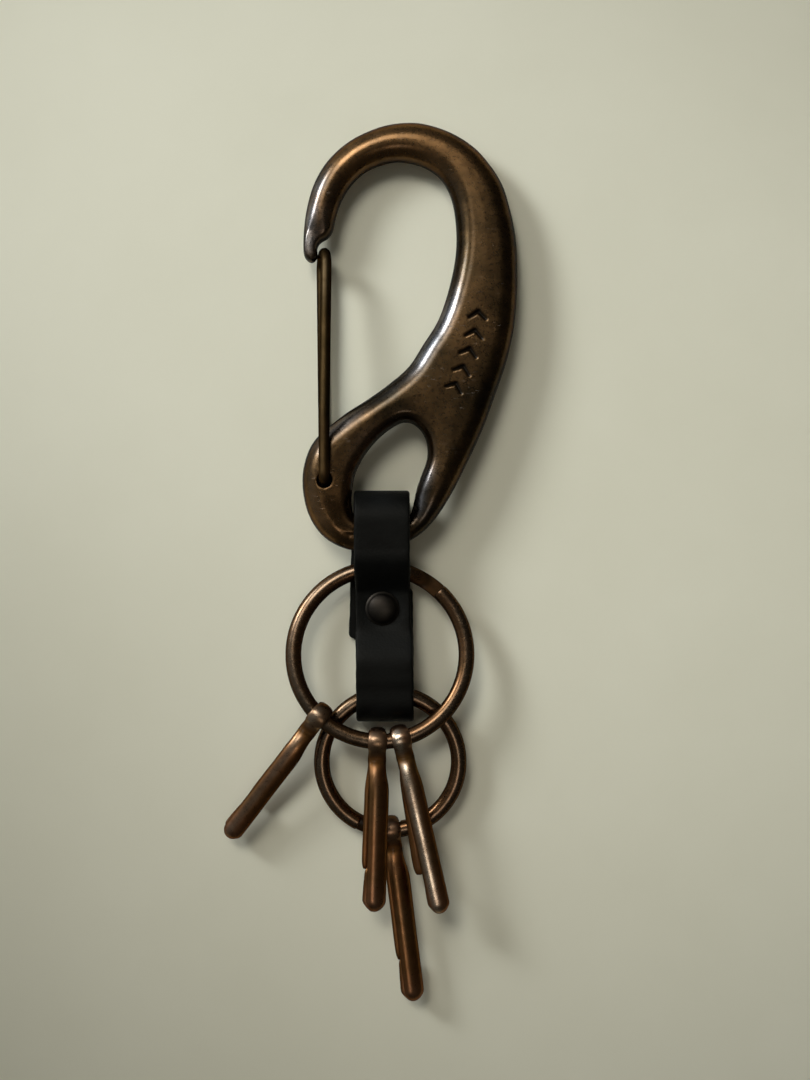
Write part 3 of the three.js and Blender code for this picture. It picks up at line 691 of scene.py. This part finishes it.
# ---- the wire gate ------------------------------------------------------------------
def gate():
    """One wire: out of the front hole, up the front leg, round the bend and back down."""
    leg_height = BODY_HALF + GATE_STAND + GATE_WIRE
    hole_reach = BODY_HALF - GATE_HOLE_DEPTH + GATE_END_GAP

    def foot(x, y, sign):
        points = [(x, y, sign * hole_reach)]
        for angle in np.linspace(0, math.pi / 2, 7):
            points.append((
                x,
                y + GATE_BEND * (1 - math.cos(angle)),
                sign * (leg_height - GATE_BEND * (1 - math.sin(angle)))))
        points.append((x, y + GATE_STRAIGHT * 0.6, sign * leg_height))
        points.append((x, y + GATE_STRAIGHT, sign * leg_height))
        return points

    tip_front = np.array([GATE_TIP_FRONT[0], 0, GATE_TIP_FRONT[1]])
    tip_back = np.array([GATE_TIP_BACK[0], 0, GATE_TIP_BACK[1]])
    middle = (tip_front + tip_back) / 2
    reach = tip_front - middle
    radius = np.linalg.norm(reach)
    tip_y = GATE_TIP - GATE_WIRE - radius

    def leg(start, end):
        end = np.array([end[0], tip_y, end[2]])
        return [tuple(np.array(start) + (end - np.array(start)) * t) for t in (0.12, 0.35, 0.6, 0.85, 1)]

    front = foot(*GATE_FRONT, 1)
    back = foot(*GATE_BACK, -1)
    bend = []
    for angle in math.pi * (np.arange(13) + 0.5) / 13:
        point = middle + reach * math.cos(angle)
        bend.append((point[0], tip_y + radius * math.sin(angle), point[2]))
    route = front + leg(front[-1], tip_front) + bend + leg(back[-1], tip_back)[::-1] + back[::-1]
    path = spline(route, SWEEP_STEP)
    section = oval(2 * GATE_WIRE, 2 * GATE_WIRE, 24)
    near_holes = path[:, 1] < GATE_FRONT[1] + GATE_BEND
    in_hole = np.clip((BODY_HALF + 0.5 - np.abs(path[:, 2])) / 0.9, 0, 1) * near_holes
    sections = [section * (1 - GATE_END_TAPER * share) for share in in_hole]
    obj = make_object("gate_wire", *sweep(path, (1, 0, 0), sections, 0.5))
    points = read_points(obj.data)
    # Rubbed metal and a painted highlight on the wire's upper side towards its bend.
    tip_wear_and_highlight = np.clip((points[:, 1] - 40) / 10, 0, 1)
    outer = np.clip((points[:, 2] - 2.6) / 1.6, 0, 1)
    store(obj, "rub_and_highlight", 0.02 + 0.3 * tip_wear_and_highlight * outer)
    store(obj, "ruddy_and_sheen", 0.5 * np.clip((24 - points[:, 1]) / 14, 0, 1))
    finish_piece(obj, GATE_BRASS, "gate", "wire_gate", body_turn())


# ---- the strap ----------------------------------------------------------------------
def strap_route():
    """The strip's middle, in the upright plane along it, from its hidden end to its other."""
    half = LEATHER / 2
    upper, lower = UPPER_LOOP + half, LOWER_LOOP + half
    top_y = STRAP_TOP - half - upper
    end_y = STRAP_END + half + lower
    return_high = half + LEATHER + LAYER_GAP
    front_low = return_high + LEATHER + LAYER_GAP
    front_high = half + 2 * upper
    lower_high = half + 2 * lower
    route = []

    def level(y0, y1, z):
        """A straight run, its points close enough together to keep the curve straight."""
        for y in np.linspace(y0, y1, round(abs(y1 - y0)) + 1):
            route.append((0, y, z))

    def slope(y0, y1, z0, z1, steps):
        for t in np.linspace(0, 1, steps + 1):
            route.append((0, y0 + (y1 - y0) * t, ease(z0, z1, t)))

    def fold(y, z, radius, start, steps):
        for t in np.linspace(0, 1, steps + 1)[1:-1]:
            angle = start + math.pi * t
            route.append((0, y + radius * math.cos(angle), z + radius * math.sin(angle)))

    # The front layer comes down to the rivet and goes up to the ring, and the strip's other
    # end rises to lie between the front layer and the back one.
    to_rivet, to_ring, to_middle = (-2.6, -9.4), (-14.9, -22.0), (-22.8, -17.9)
    run_on = 0.8           # between a level run and a slope
    level(TAB_END, top_y, half)
    fold(top_y, half + upper, upper, -math.pi / 2, 14)
    level(top_y, to_rivet[0] + run_on, front_high)
    slope(*to_rivet, front_high, front_low, 8)
    level(to_rivet[1] - run_on, to_ring[0] + run_on, front_low)
    slope(*to_ring, front_low, lower_high, 6)
    level(to_ring[1] - run_on, end_y, lower_high)
    fold(end_y, half + lower, lower, math.pi / 2, 12)
    level(end_y, to_middle[0] - run_on, half)
    slope(*to_middle, half, return_high, 6)
    level(to_middle[1] + run_on, RETURN_END, return_high)
    return route


def strap_section(width, thickness):
    """A strip's section with softly rounded corners, in short steps along each straight side."""
    corner = 0.42
    half_x, half_y = width / 2 - corner, thickness / 2 - corner
    centres = ((half_x, half_y), (-half_x, half_y), (-half_x, -half_y), (half_x, -half_y))
    arcs = []
    for (x, y), start in zip(centres, (0, 90, 180, 270)):
        angles = np.radians(np.linspace(start, start + 90, 5))
        arcs.append(np.column_stack([x + corner * np.cos(angles), y + corner * np.sin(angles)]))
    points = []
    for arc, following, steps in zip(arcs, arcs[1:] + arcs[:1], (16, 4, 16, 4)):
        points += [arc, np.linspace(arc[-1], following[0], steps)[1:-1]]
    return np.vstack(points)


def strap():
    path = spline(strap_route(), SWEEP_STEP)
    share = np.linspace(0, 1, len(path))
    # The hidden end lies to the left, and the front layer drifts right on its way to the ring.
    path[:, 0] = [STRAP_X + ease(-1.2, 0, t / 0.35) + ease(0, 0.5, (t - 0.4) / 0.3) for t in share]
    pressed = np.exp(-((path[:, 1] - RIVET_Y) / 4.2) ** 4)
    sections = []
    for i, y in enumerate(path[:, 1]):
        waist = 0.25 * pressed[i]
        wider = ease(0, 0.35, (share[i] - 0.45) / 0.2)
        folded = ease(0, 1, (y + 3.5) / 2) + ease(0, 1.7, (-24.5 - y) / 2)
        from_end = min(STRAP_CORNER, SWEEP_STEP * min(i, len(path) - 1 - i))
        cornered = STRAP_CORNER - math.sqrt(STRAP_CORNER ** 2 - (STRAP_CORNER - from_end) ** 2)
        ragged = 0.05 * math.sin(0.31 * i) + 0.04 * math.sin(0.83 * i + 1)
        width = STRAP_WIDTH + wider - waist + ragged - 1.6 * cornered
        thickness = LEATHER + 0.24 * pressed[i] - 0.24 * folded
        sections.append(strap_section(width, thickness))
    points, faces = sweep(path, (1, 0, 0), sections, 0.3)

    # The rivet pulls the outer layers in round its cap and its foot.
    away = np.hypot(points[:, 0] - STRAP_X, points[:, 1] - RIVET_Y)
    dimple = np.exp(-(away / 3.9) ** 4)
    top = 3 * LEATHER + 2 * LAYER_GAP
    points[:, 2] -= np.where(points[:, 2] > top - 0.8, 0.55 * dimple, 0)
    points[:, 2] += np.where(points[:, 2] < 0.8, 0.5 * dimple, 0)
    points[:, 2] = np.maximum(points[:, 2], STRAP_UNDERSIDE)

    obj = make_object("strap_leather", points, faces)
    size = len(sections[0])
    rows = len(points) // size
    width_share = np.tile(np.abs(sections[0][:, 0]) / (STRAP_WIDTH / 2), rows)
    cut = np.clip((width_share - 0.955) / 0.03, 0, 1)
    end_rows = 3
    cut[:end_rows * size] = 1
    cut[-end_rows * size:] = 1
    store(obj, "cut", cut)
    folds = spots(points, [(STRAP_X, STRAP_TOP - 1.5, 2.6, 1.0), (STRAP_X, STRAP_END + 1.5, 2.4, 0.8)])
    round_rivet = np.exp(-(dimple - 0.5) ** 2 / 0.03)
    slopes = np.exp(-((points[:, 1] + 6.0) / 2.6) ** 2) + np.exp(-((points[:, 1] + 18.5) / 2.6) ** 2)
    store(obj, "crease", np.maximum(np.maximum(folds, 0.6 * round_rivet), 0.7 * slopes))
    finish_piece(obj, LEATHER_BLACK, "strap", "leather_strap")


# ---- the rivet ----------------------------------------------------------------------
RIVET_SEAT = 3 * LEATHER + 2 * LAYER_GAP - 0.3    # height of the cap's brim, sunk in the leather
RIVET_DOME = 2.55
RIVET_FOOT = 0.6


def rivet_part(name, node, profile, wear_and_highlight):
    """A turned part of the rivet. Its last argument gives how rubbed each point is, and where a
    highlight is painted, by its place about the axis.
    """
    obj = make_object(name, *turned(profile, 72, STRAP_X, RIVET_Y))
    points = read_points(obj.data)
    store(obj, "rub_and_highlight", wear_and_highlight(points[:, 0] - STRAP_X, points[:, 1] - RIVET_Y))
    store(obj, "ruddy_and_sheen", np.full(len(points), 0.1))
    finish_piece(obj, RIVET_DARK, "strap", node)


def rivet():
    cap = [(0.01, RIVET_SEAT - 0.25), (2.6, RIVET_SEAT - 0.25)]
    cap += [(RIVET_RADIUS - 0.22 + 0.22 * math.cos(a), RIVET_SEAT + 0.04 + 0.26 * math.sin(a))
            for a in np.radians(np.linspace(-80, 70, 8))]
    cap += [(RIVET_DOME * math.cos(a), RIVET_SEAT + 0.42 + 0.98 * math.sin(a) ** 1.05)
            for a in np.radians(np.linspace(4, 89.5, 16))]
    foot = [(0.01, 0.0), (0.9, 0.0), (1.05, 0.06), (1.2, 0.0), (RIVET_RADIUS - 0.32, 0.0)]
    foot += [(RIVET_RADIUS - 0.25 + 0.25 * math.cos(a), 0.26 + 0.26 * math.sin(a))
             for a in np.radians(np.linspace(-80, 80, 8))]
    foot += [(RIVET_RADIUS - 0.4, RIVET_FOOT), (0.01, RIVET_FOOT)]

    def cap_wear_and_highlight(x, y):
        # A rubbed rim, and a painted highlight on the dome's lower right.
        rim = np.exp(-((np.hypot(x, y) - 2.75) / 0.25) ** 2)
        top = np.exp(-(np.hypot(x - 0.9, y + 0.5) / 1.1) ** 2)
        return 0.25 * rim + 0.2 * top

    def foot_wear(x, y):
        return 0.2 + 0.5 * np.exp(-((np.hypot(x, y) - 2.8) / 0.3) ** 2)

    rivet_part("rivet_dome", "rivet_cap", cap, cap_wear_and_highlight)
    rivet_part("rivet_foot", "rivet_post", foot, foot_wear)


# ---- the split rings ----------------------------------------------------------------
def half_round(side):
    """A coil's section, round above and flat below where side is 1, and upside down at -1."""
    section = oval(2, COIL_WIDTH, 30)
    above = ease(COIL_FLAT, COIL_CROWN, (1 + side) / 2)
    below = ease(COIL_FLAT, COIL_CROWN, (1 - side) / 2)
    upper = section[:, 0] > 0
    section[:, 0] *= np.where(upper, above, below)
    return section


def split_ring(name, ring, body, node, joint):
    """Two coils of one strip, with a step down in the gap between the coils' ends."""
    end_gap, step_down = 6, 26    # degrees
    first_turn = 360 - end_gap - step_down
    whole = 2 * first_turn + step_down
    route = []
    for travelled in np.linspace(0, whole, 260):
        angle = math.radians(ring["notch"] - travelled)
        side = ease(1, -1, (travelled - first_turn) / step_down)
        route.append((
            ring["radius"] * math.cos(angle), ring["radius"] * (math.sin(angle) - 1),
            COIL_LEVEL * side, side))
    table = spline(route, SWEEP_STEP)
    sections = [half_round(side) for side in table[:, 3]]
    obj = make_object(name, *sweep(table[:, :3], (0, 0, 1), sections, 0.22))
    points = read_points(obj.data)
    from_middle = np.hypot(points[:, 0], points[:, 1] + ring["radius"]) - ring["radius"]
    outside = np.clip(from_middle / (COIL_WIDTH / 2), -1, 1)
    on_top = np.clip(np.abs(points[:, 2]) / (COIL_LEVEL + COIL_CROWN), 0, 1)
    store(obj, "rub_and_highlight", 0.02 + 0.18 * np.exp(-((outside - 0.25) / 0.45) ** 2) * on_top ** 2)
    store(obj, "ruddy_and_sheen", 0.3 + 0.5 * np.clip(-outside, 0, 1))
    # Painted shade in the seam between the coils and along the strip's inner and outer edges.
    seam = 0.8 * np.exp(-(points[:, 2] / 0.22) ** 2)
    store(obj, "grime_and_shade", np.maximum(seam, 0.55 * np.clip((np.abs(outside) - 0.8) / 0.2, 0, 1)))
    place = Matrix.Translation(pivot(joint)) @ Matrix.Rotation(math.radians(-ring["slope"]), 4, "X")
    finish_piece(obj, RING_BRONZE, body, node, place)


# ---- the key hooks ------------------------------------------------------------------
# One strip: a spring tongue below, the eye, a pinched neck, the straight main leg above,
# the end's bend and a short return tip.
TONGUE_ROWS = 4            # rows from the tongue's tip that lean aside


def key_hook_rows(length):
    """The strip from the tongue's tip, each row (along, up, thickness, width)."""
    ring_radius = EYE_BORE + EYE_STRIP / 2
    leg_up, return_up, tongue_up = 1.62, -0.45, -1.9
    bend = (leg_up - return_up) / 2
    bend_at = length - bend - 0.8
    rows = [
        (bend_at - 5.3, tongue_up, 0.7, 2.3), (bend_at - 6.1, tongue_up, 0.9, 2.7),
        (bend_at - 14, tongue_up, 0.95, 2.75), (7.8, tongue_up, 0.9, 2.75), (5.6, -1.68, 0.78, 2.8),
        (4.2, -1.18, 0.74, 2.9), (3.1, -0.85, 0.8, 3.0),
    ]
    for around in np.radians(np.linspace(44, 316, 21)):
        width = 2.3 + 1.1 * abs(math.sin(around))
        rows.append((ring_radius * math.cos(around), -ring_radius * math.sin(around), EYE_STRIP, width))
    rows += [
        (3.1, 0.88, 1.05, 3.2), (4.2, 1.12, 1.3, 3.1), (5.8, 1.45, 1.5, 3.2),
        (7.8, leg_up, 1.6, HOOK_WIDTH), (bend_at - 10, leg_up, 1.6, HOOK_WIDTH),
        (bend_at, leg_up, 1.6, HOOK_WIDTH),
    ]
    middle = (leg_up + return_up) / 2
    for angle in math.pi / 2 - math.pi * np.arange(1, 12) / 12:
        width = HOOK_WIDTH - 1.25 * math.cos(angle) ** 2
        rows.append((bend_at + bend * math.cos(angle), middle + bend * math.sin(angle), 1.6, width))
    rows += [
        (bend_at, return_up, 1.4, HOOK_WIDTH), (bend_at - 3.6, return_up, 1.3, 3.2),
        (bend_at - 5.0, return_up, 1.1, 2.9), (bend_at - 5.5, return_up, 0.8, 2.4),
    ]
    return rows


# heading, pitch and lean are how each hook lies, and twist turns its leg against its eye, in degrees.
# shift is how far aside its tongue's tip leans, and the last number lightens its ridge, partly rubbed
# and partly a painted highlight.
KEY_HOOKS = {
    "left": {
        "heading": -37.2, "pitch": 8.6, "lean": -4,
        "length": 27.2, "twist": 10, "shift": 0, "wear_and_highlight": 0.25},
    "middle": {
        "heading": -1.6, "pitch": 0, "lean": 2,
        "length": 29.5, "twist": 18, "shift": -0.2, "wear_and_highlight": 0.08},
    "right": {
        "heading": 12.8, "pitch": -0.3, "lean": 4,
        "length": 31.0, "twist": 4, "shift": -1.3, "wear_and_highlight": 1.0},
    "lower": {
        "heading": 7.2, "pitch": -0.2, "lean": 2,
        "length": 30.3, "twist": 18, "shift": 0, "wear_and_highlight": 0.05},
}


def crowned(width, thickness):
    """A strip's section, rounder on the loop's outer face than on its inner one."""
    section = oval(width, thickness, 28)
    section[:, 1] *= np.where(section[:, 1] > 0, CROWN_OUTSIDE, CROWN_INSIDE)
    return section


def key_hook(which, hook):
    rows = []
    for i, (along, up, thickness, width) in enumerate(key_hook_rows(hook["length"])):
        free = min(max((along - 4) / 18, 0), 1) if i < TONGUE_ROWS else 0
        rows.append((hook["shift"] * free, -along, up, thickness, width))
    table = spline(rows, HOOK_STEP)
    sections = [crowned(width, thickness) for thickness, width in table[:, 3:]]
    obj = make_object("keyhook_" + which, *sweep(table[:, :3], (1, 0, 0), sections, 0.3))
    points = read_points(obj.data)
    along, up = -points[:, 1], points[:, 2].copy()
    on_eye = np.clip((2.6 - along) / 1.2, 0, 1)
    on_end = np.clip((along - hook["length"] + 6) / 5, 0, 1)
    # Painted highlight: a band along the leg's ridge is lightened, most on the right hook, besides
    # rubbing on the eye and the end.
    ridge = np.exp(-((points[:, 0] + 0.6) / 0.6) ** 2) * np.clip((up - 1.3) / 0.8, 0, 1)
    edges = np.clip((np.abs(points[:, 0]) - 1.35) / 0.4, 0, 1)
    neck_shadow = np.exp(-((along - 3.4) / 0.7) ** 2)
    store(obj, "rub_and_highlight", (0.02 + 0.15 * on_eye + hook["wear_and_highlight"] * ridge + 0.1 * on_end) * (1 - neck_shadow))
    store(obj, "ruddy_and_sheen", 0.25 + 0.6 * on_end)
    # Painted shade: the pinch behind the eye, the strands lying low under the leg and the strip's edges
    # are darkened.
    store(obj, "grime_and_shade", np.maximum(0.75 * neck_shadow + 0.5 * np.exp(-((up + 1.0) / 0.5) ** 2), 0.5 * edges))
    turns = np.radians([ease(0, hook["twist"], (value - 3) / 6) for value in along])
    side, height = points[:, 0].copy(), points[:, 2].copy()
    points[:, 0] = side * np.cos(turns) + height * np.sin(turns)
    points[:, 2] = height * np.cos(turns) - side * np.sin(turns)
    write_points(obj.data, points)
    place = (
        Matrix.Translation(pivot(f"hook_{which}_swing"))
        @ Matrix.Rotation(math.radians(hook["heading"]), 4, "Z")
        @ Matrix.Rotation(math.radians(hook["pitch"]), 4, "X")
        @ Matrix.Rotation(math.radians(hook["lean"]), 4, "Y"))
    name = "key_hook_" + which
    finish_piece(obj, COPPER, name, name, place)


# ---- floor, light and camera, in metres ---------------------------------------------
FLOOR_HALF = 1.5
CAMERA_HEIGHT = 0.3
VIEW_ANGLE = 35.7          # degrees, from the top of the picture to the bottom
WINDOW_WAY = Vector((-0.86, 0.46, 0.08))
ROOM_GLOW = [
    (0.0, (0.06, 0.055, 0.045)), (0.45, (0.07, 0.068, 0.058)),
    (0.75, (0.19, 0.20, 0.195)), (1.0, (0.62, 0.67, 0.72)),
]
ROOM_STRENGTH = 0.65
LIGHTS = {
    "window": {
        "place": (-0.36, 0.29, 0.28), "target": (0.04, 0.03, 0), "size": (0.16, 0.16),
        "power": 0.092, "colour": (0.90, 0.95, 1.0), "spread": 36},
    "skylight": {
        "place": (-0.10, 0.30, 0.45), "target": (0.02, 0.055, 0), "size": (0.32, 0.30),
        "power": 0.092, "colour": (1.0, 0.98, 0.92), "spread": 29},
    "lamp": {
        "place": (0.02, -0.145, 0.46), "target": (0.01, -0.05, 0), "size": (0.10, 0.12),
        "power": 0.008, "colour": (1.0, 0.90, 0.80), "spread": 50},
}


def pale_floor():
    material, tree, shader, place = start_material("pale_floor")
    cloud = noise(tree, place, 14, 4.0, 0.6)
    clouded = ramp(tree, cloud, [(0.35, 0.0), (0.7, 1.0)])
    colour = mix(tree, clouded, (0.85, 0.82, 0.64), (0.90, 0.87, 0.69))
    tree.links.new(colour, shader.inputs["Base Color"])
    shader.inputs["Roughness"].default_value = 0.55
    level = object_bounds()[0].z
    corners = [(x * FLOOR_HALF, y * FLOOR_HALF, level) for x, y in ((-1, -1), (1, -1), (1, 1), (-1, 1))]
    mesh = bpy.data.meshes.new("floor")
    mesh.from_pydata(corners, [], [(0, 1, 2, 3)])
    floor = bpy.data.objects.new("floor", mesh)
    bpy.context.scene.collection.objects.link(floor)
    mesh.materials.append(material)
    floor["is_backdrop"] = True


def area_light(name, place, target, size, power, colour, spread):
    data = bpy.data.lights.new(name, "AREA")
    data.shape = "RECTANGLE"
    data.size, data.size_y = size
    data.energy = power
    data.color = colour
    data.spread = math.radians(spread)
    light = bpy.data.objects.new(name, data)
    light.location = place
    light.rotation_euler = (Vector(target) - Vector(place)).to_track_quat("-Z", "Y").to_euler()
    bpy.context.scene.collection.objects.link(light)


def soft_room():
    """A dim room, lighter low on the side of its window."""
    world = bpy.data.worlds.new("soft_room")
    world.use_nodes = True
    tree = world.node_tree
    way = add(tree, "ShaderNodeTexCoord").outputs["Generated"]
    towards = {0: way, 1: WINDOW_WAY.normalized()}
    facing = add(tree, "ShaderNodeVectorMath", towards, operation="DOT_PRODUCT")
    share = calc(tree, "MULTIPLY", calc(tree, "ADD", facing.outputs["Value"], 1.0), 0.5)
    background = tree.nodes["Background"]
    tree.links.new(ramp(tree, share, ROOM_GLOW), background.inputs["Color"])
    background.inputs["Strength"].default_value = ROOM_STRENGTH
    bpy.context.scene.world = world


def light_and_camera():
    soft_room()
    bpy.context.scene.view_settings.view_transform = "Standard"
    for name, light in LIGHTS.items():
        area_light(name, **light)

    camera_data = bpy.data.cameras.new("camera")
    camera = bpy.data.objects.new("camera", camera_data)
    bpy.context.scene.collection.objects.link(camera)
    camera_data.sensor_fit = "VERTICAL"
    camera_data.sensor_height = 24
    camera_data.lens = camera_data.sensor_height / (2 * math.tan(math.radians(VIEW_ANGLE) / 2))
    camera_data.clip_start = 0.01
    camera.location = HOME + Vector((0, 0, CAMERA_HEIGHT))
    bpy.context.scene.camera = camera


# ---- the whole object -----------------------------------------------------------------
cast_hook()
gate()
strap()
rivet()
split_ring("ring_large", LARGE_RING, "large_ring", "large_split_ring", "large_ring_swing")
split_ring("ring_small", SMALL_RING, "small_ring", "small_split_ring", "small_ring_swing")
for which, hook in KEY_HOOKS.items():
    key_hook(which, hook)
pale_floor()
light_and_camera()
